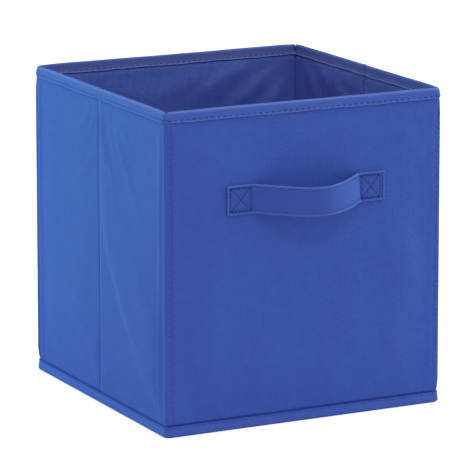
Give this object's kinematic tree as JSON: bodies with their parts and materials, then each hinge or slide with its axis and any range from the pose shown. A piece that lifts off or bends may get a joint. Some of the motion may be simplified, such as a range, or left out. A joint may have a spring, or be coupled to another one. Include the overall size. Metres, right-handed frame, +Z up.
{
  "type": "fabric storage bin",
  "caption": "Square open-top collapsible storage bin: fabric over board panels, tape-bound rim and hem, sewn strap handles, creased sides that fold in flat.",
  "frame": {"origin": "middle of the underside, where the bin stands", "axes": "+Z up to the open rim; -Y is the front face that carries the front handle; +X is to the right seen from the front"},
  "size_m": [0.267, 0.3278, 0.28],
  "materials": {
    "cover_fabric": "matte non-woven polypropylene, fine embossed dot pattern",
    "lining_fabric": "matte non-woven polypropylene, fine embossed dot pattern",
    "binding_tape": "folded non-woven binding tape, lockstitched",
    "handle_strap": "folded non-woven strap, box-stitched at both ends",
    "board": "grey chipboard, die cut"
  },
  "bodies": {
    "back_wall": {"back_cover": "cover_fabric", "back_board": "board", "back_lining": "lining_fabric", "back_rim_tape": "binding_tape", "back_handle_left_end": "handle_strap", "back_handle_right_end": "handle_strap", "back_left_corner_seam": "cover_fabric", "back_left_corner_rim_tape": "binding_tape", "back_right_corner_seam": "cover_fabric", "back_right_corner_rim_tape": "binding_tape", "hem_tape": "binding_tape", "base_fabric": "lining_fabric"},
    "left_rear_leaf": {"left_rear_cover": "cover_fabric", "left_rear_board": "board", "left_rear_lining": "lining_fabric", "left_rear_rim_tape": "binding_tape", "left_crease": "cover_fabric", "left_crease_rim_tape": "binding_tape"},
    "left_front_leaf": {"left_front_cover": "cover_fabric", "left_front_board": "board", "left_front_lining": "lining_fabric", "left_front_rim_tape": "binding_tape"},
    "front_wall": {"front_cover": "cover_fabric", "front_board": "board", "front_lining": "lining_fabric", "front_rim_tape": "binding_tape", "front_handle_left_end": "handle_strap", "front_handle_right_end": "handle_strap", "front_left_corner_seam": "cover_fabric", "front_left_corner_rim_tape": "binding_tape", "front_right_corner_seam": "cover_fabric", "front_right_corner_rim_tape": "binding_tape"},
    "right_rear_leaf": {"right_rear_cover": "cover_fabric", "right_rear_board": "board", "right_rear_lining": "lining_fabric", "right_rear_rim_tape": "binding_tape", "right_crease": "cover_fabric", "right_crease_rim_tape": "binding_tape"},
    "right_front_leaf": {"right_front_cover": "cover_fabric", "right_front_board": "board", "right_front_lining": "lining_fabric", "right_front_rim_tape": "binding_tape"},
    "base_board": {"base_board_core": "board", "base_board_sleeve": "lining_fabric"},
    "front_handle": {"front_handle_loop": "handle_strap"},
    "back_handle": {"back_handle_loop": "handle_strap"}
  },
  "joints": [
    {"name": "left_rear_fold", "type": "hinge", "parent": "back_wall", "child": "left_rear_leaf", "pos_m": [-0.1279, 0.1269, 0], "axis": [0, 0, 1], "range_deg": [0, 90], "deforming": ["back_left_corner_seam", "back_left_corner_rim_tape", "hem_tape", "base_fabric"]},
    {"name": "left_crease_fold", "type": "hinge", "parent": "left_rear_leaf", "child": "left_front_leaf", "pos_m": [-0.1338, 0, 0], "axis": [0, 0, 1], "range_deg": [-180, 0], "deforming": ["left_crease", "left_crease_rim_tape"]},
    {"name": "left_front_fold", "type": "hinge", "parent": "left_front_leaf", "child": "front_wall", "pos_m": [-0.1279, -0.1269, 0], "axis": [0, 0, 1], "range_deg": [0, 90], "deforming": ["front_left_corner_seam", "front_left_corner_rim_tape", "front_right_corner_seam", "front_right_corner_rim_tape"]},
    {"name": "right_rear_fold", "type": "hinge", "parent": "back_wall", "child": "right_rear_leaf", "pos_m": [0.1279, 0.1269, 0], "axis": [0, 0, 1], "range_deg": [-90, 0], "deforming": ["back_right_corner_seam", "back_right_corner_rim_tape"]},
    {"name": "right_crease_fold", "type": "hinge", "parent": "right_rear_leaf", "child": "right_front_leaf", "pos_m": [0.1338, 0, 0], "axis": [0, 0, 1], "range_deg": [0, 180], "deforming": ["right_crease", "right_crease_rim_tape"]},
    {"name": "base_board_lift", "type": "slide", "parent": "back_wall", "child": "base_board", "axis": [0, 0, 1], "range_m": [0, 0.29]},
    {"name": "front_handle_swing", "type": "hinge", "parent": "front_wall", "child": "front_handle", "pos_m": [0, -0.1339, 0.199], "axis": [-1, 0, 0], "range_deg": [-40, 40]},
    {"name": "back_handle_swing", "type": "hinge", "parent": "back_wall", "child": "back_handle", "pos_m": [0, 0.1339, 0.199], "axis": [1, 0, 0], "range_deg": [-40, 40]}
  ],
  "couplings": [
    {"joint": "left_crease_fold", "follows": "left_rear_fold", "ratio": -2},
    {"joint": "left_front_fold", "follows": "left_rear_fold", "ratio": 1},
    {"joint": "right_rear_fold", "follows": "left_rear_fold", "ratio": -1},
    {"joint": "right_crease_fold", "follows": "left_rear_fold", "ratio": 2}
  ]
}
